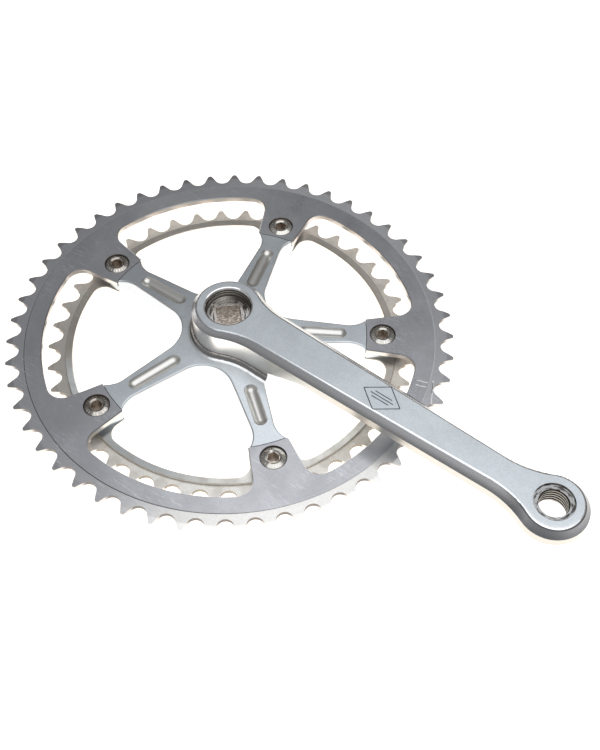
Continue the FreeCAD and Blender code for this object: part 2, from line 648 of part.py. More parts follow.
def make_crank():
    forging = [make_arm(), make_spider(), make_inboard_boss()]
    blank = feature("Part::MultiFuse", "crank_blank", Shapes=forging)
    doc.recompute()

    def cone_height(radius):
        slope = value("dims.hub_rise / dims.seat_radius")
        return value("dims.flush_height + dims.hub_rise") - radius * slope

    def is_foot(edge):
        at = middle(edge)
        highest = max(face.BoundBox.ZMax for face in blank.Shape.ancestorsOfType(edge, Part.Face))
        return abs(at.z - cone_height(from_axis(at))) < 0.01 and highest > value("dims.face_height - 4")

    def is_boss_foot(edge):
        box = edge.BoundBox
        level = abs(box.ZMax - value("dims.spider_back")) < 1e-6 and box.ZLength < 1e-6
        return level and abs(from_axis(middle(edge)) - value("dims.inboard_boss_radius")) < 1e-6

    footed = rounded("crank_foot", blank, [
        ("dims.foot_radius", is_foot),
        ("dims.inboard_boss_fillet", is_boss_foot),
    ])
    outline = rounded("crank_edges", footed, [
        ("dims.arm_edge_radius", lambda edge: abs(middle(edge).z - value("dims.face_height")) < 1e-4),
    ])
    crank = feature("Part::Cut", "crank_arm", Base=outline, Tool=make_holes())
    crank.Label = "crank_arm"
    return crank


# Chainrings -----------------------------------------------------------------------------------------

def tooth_gap(sketch, teeth):
    """The space between two teeth: a roller's seat, straight flanks, and the rounded tips beside it."""
    pitch_radius = f"(dims.chain_pitch / 2 / sin(180deg / {teeth}))"
    tip_radius = f"({pitch_radius} + dims.tooth_height)"
    seat, rounding = value("dims.roller_seat_radius"), value("dims.tooth_tip_rounding")
    flank_angle = radians(value("dims.tooth_flank_angle"))
    along = Vector(cos(flank_angle), sin(flank_angle), 0)
    normal = Vector(-along.y, along.x, 0)
    roller = Vector(value(pitch_radius), 0, 0)
    tip = value(tip_radius)

    offset = roller + normal * (seat + rounding)
    halfway = offset.dot(along)
    reach = sqrt(halfway**2 - offset.dot(offset) + (tip - rounding) ** 2) - halfway
    corner = offset + along * reach
    on_seat = roller + normal * seat
    on_flank = corner - normal * rounding
    on_tip = corner * (tip / (tip - rounding))
    outside = corner * ((tip + 1) / (tip - rounding))

    def low(point):
        return Vector(point.x, -point.y, 0)

    pieces = [
        add_arc(sketch, roller, on_seat, low(on_seat)),
        add_line(sketch, low(on_seat), low(on_flank)),
        add_arc(sketch, low(corner), low(on_flank), low(on_tip), clockwise=True),
        add_line(sketch, low(on_tip), low(outside)),
        add_line(sketch, low(outside), outside),
        add_line(sketch, outside, on_tip),
        add_arc(sketch, corner, on_tip, on_flank, clockwise=True),
        add_line(sketch, on_flank, on_seat),
    ]
    close_outline(sketch, pieces, corners=(2, 3, 4, 5))
    seat_arc, low_flank, low_corner, low_edge, _, high_edge, high_corner, high_flank = (
        piece[0] for piece in pieces
    )
    fix_point(sketch, seat_arc, 3, (pitch_radius, "0"))
    bind(sketch, "Radius", seat_arc, to="dims.roller_seat_radius")
    past_axis = f"{pitch_radius} * sin(dims.tooth_flank_angle * 1deg) - dims.roller_seat_radius"
    for flank, arc, edge, outer_end in (
        (low_flank, low_corner, low_edge, 2),
        (high_flank, high_corner, high_edge, 1),
    ):
        bind(sketch, "Distance", -1, 1, flank, to=past_axis)
        bind(sketch, "Radius", arc, to="dims.tooth_tip_rounding")
        bind(sketch, "Distance", -1, 1, arc, 3, to=f"{tip_radius} - dims.tooth_tip_rounding")
        sketch.addConstraint(Sketcher.Constraint("PointOnObject", -1, 1, edge))
        sketch.addConstraint(Sketcher.Constraint("PointOnObject", arc, 3, edge))
        bind(sketch, "Distance", -1, 1, edge, outer_end, to=f"{tip_radius} + 1")


def ring_window(sketch, ring):
    """One opening between two tabs, its outer corners rounded; the sketch's x axis runs between the tabs."""
    half_angle = "(180deg / dims.spider_arms)"
    run = "(dims.pad_end_radius - dims.seat_radius)"
    slope = f"((dims.{ring}_tab_end_half_width - dims.{ring}_tab_half_width) / {run})"
    at_axis = f"(dims.{ring}_tab_half_width - {slope} * dims.seat_radius)"
    inside = f"(dims.{ring}_tab_radius - 4)"
    at_inside = f"({at_axis} + {slope} * {inside})"
    at_bolt = f"({at_axis} + {slope} * dims.bolt_circle_radius)"

    lean = value(slope)
    turn = radians(value("180 / dims.spider_arms"))
    out, side = Vector(cos(turn), sin(turn), 0), Vector(sin(turn), -cos(turn), 0)
    along = (out + side * lean).normalize()
    normal = Vector(along.y, -along.x, 0)
    rim, corner = value(f"dims.{ring}_inner_radius"), value(f"dims.{ring}_corner_radius")
    start = out * value(inside) + side * value(at_inside)
    offset = start + normal * corner
    halfway = offset.dot(along)
    centre = offset + along * (sqrt(halfway**2 - offset.dot(offset) + (rim - corner) ** 2) - halfway)
    on_side, on_rim = centre - normal * corner, centre * (rim / (rim - corner))

    def low(point):
        return Vector(point.x, -point.y, 0)

    pieces = [
        add_arc(sketch, Vector(), low(on_rim), on_rim),
        add_arc(sketch, centre, on_rim, on_side),
        add_line(sketch, on_side, start),
        add_line(sketch, start, low(start)),
        add_line(sketch, low(start), low(on_side)),
        add_arc(sketch, low(centre), low(on_side), low(on_rim)),
    ]
    close_outline(sketch, pieces, corners=(2, 3))
    rim_arc, high_corner, high_side, _, low_side, low_corner = (piece[0] for piece in pieces)
    sketch.addConstraint(Sketcher.Constraint("Coincident", rim_arc, 3, -1, 1))
    bind(sketch, "Radius", rim_arc, to=f"dims.{ring}_inner_radius")
    for arc, line, inner_end, sign in ((high_corner, high_side, 2, ""), (low_corner, low_side, 1, "-")):
        bolt = out * value("dims.bolt_circle_radius")
        bolt = low(bolt) if sign else bolt
        mark = sketch.addGeometry(Part.Point(bolt), True)
        fix_point(sketch, mark, 1, (
            f"dims.bolt_circle_radius * cos({half_angle})",
            f"{sign}dims.bolt_circle_radius * sin({half_angle})",
        ))
        bind(sketch, "Radius", arc, to=f"dims.{ring}_corner_radius")
        bind(sketch, "Distance", mark, 1, line, to=f"{at_bolt} / sqrt(1 + {slope}^2)")
        fix_point(sketch, line, inner_end, (
            f"{inside} * cos({half_angle}) + {at_inside} * sin({half_angle})",
            f"{sign}({inside} * sin({half_angle}) - {at_inside} * cos({half_angle}))",
        ))


def make_ring(ring, front, back, band_front, band_back, recess):
    """A chainring; the recess is (radius, floor height, mouth height) around each bolt hole."""
    body = doc.addObject("PartDesign::Body", f"{ring}_chainring")
    body.Label = f"{ring}_chainring"
    teeth, tabs = f"dims.{ring}_teeth", "dims.spider_arms"
    first_tab, tab_step = value("dims.first_arm_angle"), 360 / value(tabs)
    inside, step = f"dims.{ring}_tab_radius", f"dims.{ring}_step_radius"
    tip = f"(dims.chain_pitch / 2 / sin(180deg / {teeth}) + dims.tooth_height)"
    shoulder, taper = f"{tip} - dims.tooth_taper_length", "dims.tooth_tip_taper"

    section = upright_sketch(f"{ring}_section", body)
    polygon(section, [
        (inside, back),
        (step, back),
        (step, band_back) if band_back != back else (f"({step} + {shoulder}) / 2", back),
        (shoulder, band_back),
        (tip, f"{band_back} + {taper}"),
        (tip, f"{band_front} - {taper}"),
        (shoulder, band_front),
        (step, band_front),
        (step, front),
        (inside, front),
    ])
    around_axis(body, "PartDesign::Revolution", f"{ring}_disc", section)

    through = {"Length": f"{front} - {back}"}
    outline = flat_sketch(f"{ring}_window_outline", front, body, first_tab + tab_step / 2)
    ring_window(outline, ring)
    window = body_feature(body, "PartDesign::Pocket", f"{ring}_window", through, Profile=outline)
    windows = pattern(body, f"{ring}_windows", [window], tabs)
    doc.recompute()
    levels = (value(front), value(back))

    def is_window_edge(edge):
        box = edge.BoundBox
        level = box.ZLength < 1e-6 and min(abs(box.ZMax - z) for z in levels) < 1e-6
        radius = from_axis(middle(edge))
        return level and value(inside) + 0.1 < radius < value(step) - 0.1

    body_feature(body, "PartDesign::Chamfer", f"{ring}_window_chamfers", {"Size": "dims.ring_edge_chamfer"},
                 Base=(windows, edges_where(windows.Shape, is_window_edge)))

    hole_outline = flat_sketch(f"{ring}_hole_outline", front, body, first_tab)
    add_circle(hole_outline, ("dims.bolt_circle_radius", "0"), "dims.ring_hole_radius")
    hole = body_feature(body, "PartDesign::Pocket", f"{ring}_hole", through, Profile=hole_outline)
    radius, floor, mouth = recess
    recess_outline = flat_sketch(f"{ring}_recess_outline", mouth, body, first_tab)
    add_circle(recess_outline, ("dims.bolt_circle_radius", "0"), radius)
    depth = {"Length": f"abs({mouth} - {floor})"}
    opening = body_feature(body, "PartDesign::Pocket", f"{ring}_recess", depth, Profile=recess_outline,
                           Reversed=value(mouth) < value(floor))
    pattern(body, f"{ring}_bolt_holes", [hole, opening], tabs)

    gap_outline = flat_sketch(f"{ring}_gap_outline", front, body, value(f"dims.{ring}_first_gap"))
    tooth_gap(gap_outline, teeth)
    gap = body_feature(body, "PartDesign::Pocket", f"{ring}_gap", through, Profile=gap_outline)
    pattern(body, f"{ring}_tooth_gaps", [gap], teeth)
    return body


# Chainring bolts and nuts ---------------------------------------------------------------------------

def hexagon(sketch, flats):
    """A hexagon around the sketch's origin, two of its sides parallel to x."""
    corner = f"({flats} / sqrt(3))"
    polygon(sketch, [(f"{corner} * cos({60 * k}deg)", f"{corner} * sin({60 * k}deg)") for k in range(6)])


def stand_at_bolt_hole(body, number, height):
    angle = f"(dims.first_arm_angle * 1deg + {number - 1} * 360deg / dims.spider_arms)"
    body.setExpression("Placement.Base.x", f"dims.bolt_circle_radius * cos({angle})")
    body.setExpression("Placement.Base.y", f"dims.bolt_circle_radius * sin({angle})")
    body.setExpression("Placement.Base.z", height)


def make_bolt(number):
    """A chainring bolt standing on the floor of its recess: crowned head, hexagon socket, M8 shank."""
    name = f"chainring_bolt_{number}"
    body = doc.addObject("PartDesign::Body", name)
    body.Label = name
    rim, crown = "dims.head_rim_thickness", "(dims.head_rim_thickness + dims.head_crown)"
    bevel = "0.3"
    section = upright_sketch(f"{name}_section", body)
    polygon(section, [
        ("0", "-dims.bolt_length"),
        (f"dims.bolt_shank_radius - {bevel}", "-dims.bolt_length"),
        ("dims.bolt_shank_radius", f"{bevel} - dims.bolt_length"),
        ("dims.bolt_shank_radius", "0"),
        ("dims.head_radius", "0"),
        ("dims.head_radius", f"{rim} - {bevel}"),
        (f"dims.head_radius - {bevel}", rim),
        ("dims.socket_mouth_radius", crown),
        ("dims.socket_flats / sqrt(3)", f"{crown} - dims.socket_mouth_depth"),
        ("0", f"{crown} - dims.socket_mouth_depth"),
    ])
    around_axis(body, "PartDesign::Revolution", f"{name}_blank", section)
    socket = flat_sketch(f"{name}_socket_outline", crown, body)
    hexagon(socket, "dims.socket_flats")
    depth = {"Length": "dims.socket_depth"}
    body_feature(body, "PartDesign::Pocket", f"{name}_socket", depth, Profile=socket)
    stand_at_bolt_hole(body, number, "dims.outer_ring_front - dims.head_recess_depth")
    return body


def make_nut(number):
    """The sleeve nut behind it: slotted head in the inner ring's recess, sleeve through both rings."""
    name = f"chainring_nut_{number}"
    body = doc.addObject("PartDesign::Body", name)
    body.Label = name
    floor = "(dims.inner_ring_back + dims.nut_recess_depth)"
    sleeve = f"(dims.outer_ring_front - dims.head_recess_depth - dims.sleeve_gap - {floor})"
    bevel = "0.3"
    section = upright_sketch(f"{name}_section", body)
    polygon(section, [
        ("dims.nut_bore_radius", "-dims.nut_head_thickness"),
        (f"dims.nut_head_radius - {bevel}", "-dims.nut_head_thickness"),
        ("dims.nut_head_radius", f"{bevel} - dims.nut_head_thickness"),
        ("dims.nut_head_radius", "0"),
        ("dims.nut_sleeve_radius", "0"),
        ("dims.nut_sleeve_radius", f"{sleeve} - {bevel}"),
        (f"dims.nut_sleeve_radius - {bevel}", sleeve),
        ("dims.nut_bore_radius", sleeve),
    ])
    around_axis(body, "PartDesign::Revolution", f"{name}_blank", section)
    slot = flat_sketch(f"{name}_slot_outline", "-dims.nut_head_thickness", body)
    reach, half = "(dims.nut_head_radius + 1)", "(dims.nut_slot_width / 2)"
    polygon(slot, [(f"-{reach}", f"-{half}"), (reach, f"-{half}"), (reach, half), (f"-{reach}", half)])
    body_feature(body, "PartDesign::Pocket", f"{name}_slot", {"Length": "dims.nut_slot_depth"}, Profile=slot,
                 Reversed=True)
    stand_at_bolt_hole(body, number, floor)
    return body


# The assembly ---------------------------------------------------------------------------------------

outer_front, inner_back = "dims.outer_ring_front", "dims.inner_ring_back"
nodes = [
    make_crank(),
    make_ring(
        "outer", outer_front, "dims.seat_height", "dims.outer_band_front", "dims.outer_band_back",
        ("dims.head_recess_radius", f"{outer_front} - dims.head_recess_depth", outer_front),
    ),
    make_ring(
        "inner", "dims.spider_back", inner_back, "dims.inner_band_front", inner_back,
        ("dims.nut_recess_radius", f"{inner_back} + dims.nut_recess_depth", inner_back),
    ),
]
bolt_numbers = range(1, round(value("dims.spider_arms")) + 1)
nodes += [make_bolt(number) for number in bolt_numbers]
nodes += [make_nut(number) for number in bolt_numbers]
doc.recompute()

for item in doc.Objects:
    if "Invalid" in item.State or "Error" in item.State:
        raise RuntimeError(f"{item.Label} did not recompute")
    if hasattr(item, "Shape") and (item.Shape.isNull() or not item.Shape.isValid()):
        raise RuntimeError(f"{item.Label} has no valid shape")
for node in nodes:
    if len(node.Shape.Solids) != 1:
        raise RuntimeError(f"{node.Label} is not one solid")

os.makedirs("parts", exist_ok=True)
for node in nodes:
    node.Shape.exportStep(f"parts/{node.Label}.step")
    print(node.Label, round(node.Shape.Volume), "mm3")
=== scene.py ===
"""Looks of a right-hand bicycle crank with two chainrings, built around its CAD frame.

Metres. +Z points outboard along the spindle's axis, and +X from the spindle to the pedal.
"""

import math

import bpy
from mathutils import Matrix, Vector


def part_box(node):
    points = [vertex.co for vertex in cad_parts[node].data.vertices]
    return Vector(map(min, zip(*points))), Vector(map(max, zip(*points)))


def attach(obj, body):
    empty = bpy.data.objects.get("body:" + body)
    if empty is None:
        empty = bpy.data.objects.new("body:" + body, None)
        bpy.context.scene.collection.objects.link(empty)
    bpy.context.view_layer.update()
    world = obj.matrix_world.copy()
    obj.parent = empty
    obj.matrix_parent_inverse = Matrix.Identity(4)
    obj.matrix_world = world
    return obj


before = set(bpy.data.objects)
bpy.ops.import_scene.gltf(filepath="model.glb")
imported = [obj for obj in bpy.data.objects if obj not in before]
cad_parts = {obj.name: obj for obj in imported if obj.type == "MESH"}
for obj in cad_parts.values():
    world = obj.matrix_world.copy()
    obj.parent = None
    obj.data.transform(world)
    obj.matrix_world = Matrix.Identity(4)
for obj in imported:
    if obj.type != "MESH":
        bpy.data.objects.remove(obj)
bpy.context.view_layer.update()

MM = 0.001
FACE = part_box("crank_arm")[1][2]              # height of the arm's outer face
RING_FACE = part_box("outer_chainring")[1][2]   # height of the outer ring's outer face
CRANK_LENGTH = 170 * MM                       # from the spindle's axis to the pedal's
BOLT_CIRCLE = 72 * MM                         # distance of the chainring bolts from the spindle's axis
FIRST_ARM = math.radians(36)                  # direction of the first spider arm
ARM_STEP = math.radians(72)                   # from one spider arm to the next
CONE_TOP = 16.58 * MM                         # height of the spider's shallow cone at the spindle's axis
CONE_SLOPE = 4.18 / 64.3                      # its fall for each step outwards
WASHER_SEAT = FACE - 7.0 * MM                 # height of the seat at the mouth of the square socket
HOLE_MOUTH = 11.4 * MM                        # radius of the extractor hole's rounded mouth
HOLE_RELIEF = 9.5 * MM                        # radius of the first step below its thread
PEDAL_SEAT = 8.85 * MM                        # radius of the recess around the pedal thread
OUTER_STEP = 96.6 * MM                        # radius where the outer ring's thinner tooth band starts
INNER_STEP = 78.5 * MM                        # the same on the inner ring


# Node graphs ----------------------------------------------------------------------------------------

def rgba(colour):
    return (*colour, 1.0)


class Graph:
    """A material's or world's node tree, with short calls for the nodes used here."""

    def __init__(self, owner):
        owner.use_nodes = True
        self.tree = owner.node_tree
        self.tree.nodes.clear()

    def node(self, kind, inputs=(), **settings):
        made = self.tree.nodes.new(kind)
        for name, content in settings.items():
            setattr(made, name, content)
        for name, content in dict(inputs).items():
            self.feed(made.inputs[name], content)
        return made

    def feed(self, socket, content):
        """Link a node or its output to an input, or set the input's own value."""
        if isinstance(content, bpy.types.Node):
            content = content.outputs[0]
        if isinstance(content, bpy.types.NodeSocket):
            self.tree.links.new(content, socket)
        else:
            socket.default_value = content

    def math(self, operation, *values):
        made = self.node("ShaderNodeMath", operation=operation)
        for socket, content in zip(made.inputs, values):
            self.feed(socket, content)
        return made.outputs[0]

    def product(self, first, *others):
        for other in others:
            first = self.math("MULTIPLY", first, other)
        return first

    def ramp(self, fac, stops):
        """A colour ramp: stops are (position, colour)."""
        made = self.node("ShaderNodeValToRGB", {"Fac": fac})
        elements = made.color_ramp.elements
        while len(elements) < len(stops):
            elements.new(0.5)
        for element, (position, colour) in zip(elements, stops):
            element.position = position
            element.color = rgba(colour)
        return made.outputs["Color"]

    def mix(self, fac, first, second):
        """Between two colours, each a tuple or a node's output."""
        made = self.node("ShaderNodeMix", {"Factor": fac}, data_type="RGBA")
        for socket, content in ((made.inputs[6], first), (made.inputs[7], second)):
            self.feed(socket, rgba(content) if isinstance(content, tuple) else content)
        return made.outputs[2]

    def blend(self, fac, first, second):
        """Between two numbers."""
        made = self.node("ShaderNodeMix", {"Factor": fac, 2: first, 3: second}, data_type="FLOAT")
        return made.outputs[0]

    def noise(self, vector, scale, detail=2.0, roughness=0.5):
        made = self.node("ShaderNodeTexNoise", {
            "Vector": vector, "Scale": scale, "Detail": detail, "Roughness": roughness,
        })
        return made.outputs["Fac"]

    def vector(self, x, y, z=0.0):
        return self.node("ShaderNodeCombineXYZ", {0: x, 1: y, 2: z}).outputs[0]

    def between(self, value, low, high):
        """0 at low, 1 at high, smooth between them. Low may be the larger number."""
        made = self.node("ShaderNodeMapRange", {"Value": value, "From Min": low, "From Max": high},
                         interpolation_type="SMOOTHSTEP")
        return made.outputs["Result"]

    def band(self, value, low, high, soft):
        """1 from low to high, fading out over soft on both sides."""
        return self.product(self.between(value, low - soft, low), self.between(value, high + soft, high))


class Place:
    """Where a point of the metal is in the frame, and how level the surface lies there."""

    def __init__(self, graph):
        self.vector = graph.node("ShaderNodeTexCoord").outputs["Object"]
        parts = graph.node("ShaderNodeSeparateXYZ", {0: self.vector}).outputs
        self.x, self.y, self.z = parts[0], parts[1], parts[2]
        self.radius = distance(graph, self.x, self.y)
        self.angle = graph.math("ARCTAN2", self.y, self.x)
        facing = graph.node("ShaderNodeNewGeometry").outputs["True Normal"]
        self.up = graph.node("ShaderNodeSeparateXYZ", {0: facing}).outputs[2]


def distance(graph, x, y):
    """The length of a step of x and y."""
    return graph.math("SQRT", graph.math("ADD", graph.math("MULTIPLY", x, x), graph.math("MULTIPLY", y, y)))


def around_axis(graph, place, x):
    """Distance and angle around an upright axis through the arm's middle line."""
    along = graph.math("SUBTRACT", place.x, x)
    return distance(graph, along, place.y), graph.math("ARCTAN2", place.y, along)


def around_bolt(graph, place):
    """Distance and angle around the nearest chainring bolt's axis."""
    turned = graph.math("WRAP", graph.math("SUBTRACT", place.angle, FIRST_ARM), ARM_STEP / 2, -ARM_STEP / 2)
    along = graph.math("SUBTRACT", graph.product(place.radius, graph.math("COSINE", turned)), BOLT_CIRCLE)
    across = graph.product(place.radius, graph.math("SINE", turned))
    return distance(graph, along, across), graph.math("ARCTAN2", across, along)


# Used metal -----------------------------------------------------------------------------------------

GRAIN = (0.25, 0.25, 0.27)      # fine specks all over
FILM_AND_SHADE = (0.36, 0.28, 0.21)       # thin brown soiling and painted shade on faces that lie in a hollow
DIRT_AND_SHADE = (0.085, 0.065, 0.05)     # thick dark soiling and painted shade in corners


def scratches(graph, place, turn, scale, density):
    """Fine straight scratches in one direction: 0 on clean metal, 1 in a scratch."""
    stretched = graph.node("ShaderNodeMapping", {
        "Vector": place.vector, "Rotation": (0, 0, math.radians(turn)), "Scale": (scale * 0.1, scale, scale),
    })
    cells = graph.noise(stretched, 1.0, detail=3.0, roughness=0.65)
    return graph.between(cells, 1 - density, 1 - density + 0.08)


def worn_patches(graph, place):
    """Scratches in three directions, in patches."""
    lines = graph.product(scratches(graph, place, 24, 1200, 0.41), 0.7)
    lines = graph.math("MAXIMUM", lines, scratches(graph, place, -47, 1500, 0.40))
    lines = graph.math("MAXIMUM", lines, graph.product(scratches(graph, place, 80, 1000, 0.40), 0.8))
    patches = graph.between(graph.noise(place.vector, 60.0, detail=3.0), 0.42, 0.62)
    return graph.product(lines, patches)


def shelter(graph, reach):
    """How much open room a point has within reach: 1 in the open, towards 0 in a corner."""
    return graph.node("ShaderNodeAmbientOcclusion", {"Distance": reach}, samples=6).outputs["AO"]


def metal(name, colour, roughness, wear, grime_and_shade, mottle=0.2, layers=()):
    """Used metal: cloudy colour, then layers, fine scratches and grain, and brown soiling with painted shade
    in its hollows and corners.

    A layer is (mask, colour, roughness), its mask a function of the graph and the place.
    """
    material = bpy.data.materials.new(name)
    graph = Graph(material)
    place = Place(graph)
    level = graph.between(place.up, 0.86, 0.95)

    cloud = graph.noise(place.vector, 45.0, detail=5.0, roughness=0.62)
    darker = tuple(c * (1 - mottle) for c in colour)
    base = graph.mix(graph.between(cloud, 0.3, 0.7), darker, colour)
    rough = graph.math("ADD", roughness, graph.math("MULTIPLY", graph.math("SUBTRACT", cloud, 0.5), 0.14))
    for mask, layer_colour, layer_roughness in layers:
        cover = mask(graph, place)
        base = graph.mix(cover, base, layer_colour)
        rough = graph.blend(cover, rough, layer_roughness)

    marks = graph.product(worn_patches(graph, place), level, wear)
    base = graph.mix(marks, base, tuple(min(1.0, c * 1.35) for c in colour))
    fine = graph.noise(place.vector, 1100.0, detail=2.0)
    grain = graph.product(graph.between(fine, 0.35, 0.65), level)
    base = graph.mix(graph.product(grain, 0.1), base, GRAIN)

    # Brown soiling that is also painted shade: faces that are not upright darken the more closed in they
    # are.
    film_and_hollow_shade = graph.product(graph.between(shelter(graph, 9 * MM), 0.6, 0.1),
                         graph.between(place.up, 0.1, 0.5), grime_and_shade)
    # Dark soiling that is also painted shade: corners darken the more closed in they are.
    dirt_and_corner_shade = graph.product(graph.between(shelter(graph, 2.2 * MM), 0.72, 0.2), grime_and_shade)
    base = graph.mix(film_and_hollow_shade, base, FILM_AND_SHADE)
    base = graph.mix(dirt_and_corner_shade, base, DIRT_AND_SHADE)
    rough = graph.math("ADD", rough, graph.product(dirt_and_corner_shade, 0.3))

    normal = graph.node("ShaderNodeBump", {"Height": grain, "Strength": 0.15, "Distance": 0.02 * MM})
    shader = graph.node("ShaderNodeBsdfPrincipled", {
        "Base Color": base, "Metallic": 1.0, "Roughness": rough, "Normal": normal,
    })
    graph.node("ShaderNodeOutputMaterial", {"Surface": shader})
    return material


# Masks for any piece --------------------------------------------------------------------------------

def on_side(graph, place):
    """Upright faces."""
    return graph.between(graph.math("ABSOLUTE", place.up), 0.35, 0.2)


def towards(angle, spread):
    """1 in one direction from the spindle's axis, falling to 0 a spread of degrees to each side."""
    def mask(graph, place):
        apart = graph.math("COSINE", graph.math("SUBTRACT", place.angle, math.radians(angle)))
        return graph.between(apart, math.cos(math.radians(spread)), 1.0)
    return mask


def both(first, second):
    """Where two masks overlap."""
    def mask(graph, place):
        return graph.product(first(graph, place), second(graph, place))
    return mask


def partly(mask, share):
    """A mask at a share of its strength."""
    def less(graph, place):
        return graph.product(mask(graph, place), share)
    return less


def beyond(radius):
    """Farther out from the spindle's axis than a radius."""
    def mask(graph, place):
        return graph.between(place.radius, radius - 0.1 * MM, radius + 0.1 * MM)
    return mask


def ring_band(inside, outside, soft):
    """Between two radii around the spindle's axis, fading out over soft."""
    def mask(graph, place):
        return graph.band(place.radius, inside, outside, soft)
    return mask


def step_line(radius):
    """The line of a turned step, where a painted shadow line or a painted highlight goes."""
    return ring_band(radius - 0.12 * MM, radius + 0.12 * MM, 0.1 * MM)


def turned_marks(strength):
    """Fine lines left by turning, and rubbed arcs."""
    def mask(graph, place):
        across, around = graph.product(place.radius, 2400.0), graph.product(place.angle, 1.5)
        fine = graph.noise(graph.vector(across, around), 1.0)
        return graph.product(graph.between(fine, 0.5, 0.72), strength)
    return mask


def blotches(scale, strength):
    """Cloudy stains, smaller with a larger scale."""
    def mask(graph, place):
        cells = graph.noise(place.vector, scale, detail=1.5)
        return graph.product(graph.between(cells, 0.42, 0.68), strength)
    return mask


def scratch(start, end, width):
    """One straight scratch between two points, in millimetres."""
    length = math.dist(start, end)
    run = ((end[0] - start[0]) / length, (end[1] - start[1]) / length)

    def mask(graph, place):
        x = graph.math("SUBTRACT", place.x, start[0] * MM)
        y = graph.math("SUBTRACT", place.y, start[1] * MM)
        wander = graph.product(graph.math("SUBTRACT", graph.noise(place.vector, 500.0), 0.5), 0.9 * MM)
        along = graph.math("ADD", graph.product(x, run[0]), graph.product(y, run[1]))
        across = graph.math("ADD", graph.product(x, -run[1]), graph.product(y, run[0]))
        across = graph.math("ABSOLUTE", graph.math("ADD", across, wander))
        return graph.product(graph.band(along, 0.0, length * MM, 0.5 * MM),
                             graph.between(across, width * MM, 0.3 * width * MM),
                             graph.between(place.up, 0.8, 0.9))
    return mask


# Masks for the crank arm ----------------------------------------------------------------------------

def on_outer_bevel(graph, place):
    """The slope between the arm's face and its side walls."""
    return graph.product(graph.band(place.up, 0.12, 0.84, 0.06), graph.between(place.z, 26 * MM, 27 * MM))


def on_bevel_foot(graph, place):
    """The lower part of the outer bevel."""
    return graph.product(on_outer_bevel(graph, place), graph.between(place.z, 31.4 * MM, 28.6 * MM), 0.8)


def towards_pedal(graph, place):
    """The outer bevel, increasingly towards the pedal."""
    return graph.product(on_outer_bevel(graph, place), graph.between(place.x, 10 * MM, 130 * MM))


def on_eye_bevel(graph, place):
    """The outer bevel around the pedal eye."""
    return graph.product(on_outer_bevel(graph, place), graph.between(place.x, 146 * MM, 162 * MM), 0.85)


def face_edge(graph, place):
    """The polished rounding between the arm's face and its bevel, where a painted highlight goes, brightest
    on the arm itself.
    """
    return graph.product(graph.band(place.up, 0.86, 0.975, 0.02),
                         graph.between(place.z, FACE - 1.4 * MM, FACE - 1.0 * MM),
                         graph.between(place.x, -2 * MM, 75 * MM))


def on_arm_wall(graph, place):
    """The upright sides of the arm and the boss, above the spider."""
    return graph.product(on_side(graph, place), graph.between(place.z, 15 * MM, 17 * MM))


def on_hub_wall(graph, place):
    """The boss's side below its bevel, on the side away from the pedal."""
    return graph.product(on_arm_wall(graph, place), graph.between(place.x, -4 * MM, -12 * MM))


def on_far_wall(graph, place):
    """The arm's sides from the boss to the pedal."""
    return graph.product(on_arm_wall(graph, place), graph.between(place.x, 18 * MM, 40 * MM))


def below_cone(graph, place):
    """Depth under the spider's shallow cone, negative above it."""
    cone = graph.math("SUBTRACT", CONE_TOP, graph.product(place.radius, CONE_SLOPE))
    return graph.math("SUBTRACT", cone, place.z)


def on_foot(graph, place):
    """The hollow curve where the boss and the arm rise from the spider."""
    return graph.product(graph.band(below_cone(graph, place), -3.2 * MM, -0.3 * MM, 0.08 * MM),
                         graph.between(place.up, 0.03, 0.1))


def beside_foot(graph, place):
    """The last of the hollow curve, where it runs out into the spider."""
    return graph.product(graph.band(below_cone(graph, place), -0.3 * MM, -0.04 * MM, 0.03 * MM),
                         graph.between(place.up, 0.5, 0.6), graph.between(place.y, -2 * MM, -9 * MM))


def on_spider_face(graph, place):
    """The faces of the spider arms farthest from the pedal, which painted shade makes a little darker."""
    away = graph.product(towards(178, 50)(graph, place), 0.8)
    return graph.product(away, graph.between(place.radius, 26 * MM, 40 * MM),
                         graph.between(place.z, 18 * MM, 17 * MM))


def in_groove(graph, place):
    """The grooves of the spider arms: below the spider's cone, away from its sides."""
    return graph.product(
        graph.band(below_cone(graph, place), 0.25 * MM, 2.4 * MM, 0.15 * MM),
        graph.band(place.radius, 28 * MM, 55.5 * MM, 0.5 * MM),
        graph.between(place.up, 0.25, 0.5),
    )


def on_hole_mouth(graph, place):
    """The polished rounding at the mouth of the extractor hole, where a painted highlight goes."""
    return graph.product(graph.band(place.radius, HOLE_MOUTH - 0.8 * MM, HOLE_MOUTH - 0.05 * MM, 0.1 * MM),
                         graph.between(place.z, FACE - 1.1 * MM, FACE - 0.8 * MM),
                         graph.between(place.up, 0.995, 0.97))


def in_extractor_hole(graph, place):
    """The extractor hole below its mouth."""
    return graph.product(graph.between(place.radius, HOLE_MOUTH - 0.1 * MM, HOLE_MOUTH - 0.3 * MM),
                         graph.between(place.z, FACE - 0.7 * MM, FACE - 1.0 * MM))


def within_relief(graph, place):
    """Inside the round step under the extractor thread."""
    return graph.between(place.radius, HOLE_RELIEF + 0.3 * MM, HOLE_RELIEF - 0.3 * MM)


def on_washer_seat(graph, place):
    """The level steps between the extractor thread and the square socket."""
    return graph.product(within_relief(graph, place),
                         graph.band(place.z, WASHER_SEAT - 0.2 * MM, WASHER_SEAT + 2.7 * MM, 0.1 * MM),
                         graph.between(place.up, 0.6, 0.9))


def seat_rings(graph, place):
    """Dark concentric lines on the steps under the extractor thread."""
    fine = graph.noise(graph.vector(graph.product(place.radius, 1100.0), place.angle), 1.0, detail=1.0)
    return graph.product(on_washer_seat(graph, place), graph.between(fine, 0.46, 0.54))


def in_socket(graph, place):
    """Stains inside the square socket."""
    stain = graph.between(graph.noise(place.vector, 700.0, detail=5.0, roughness=0.75), 0.42, 0.56)
    return graph.product(within_relief(graph, place),
                         graph.between(place.z, WASHER_SEAT + 0.1 * MM, WASHER_SEAT - 0.2 * MM), stain)


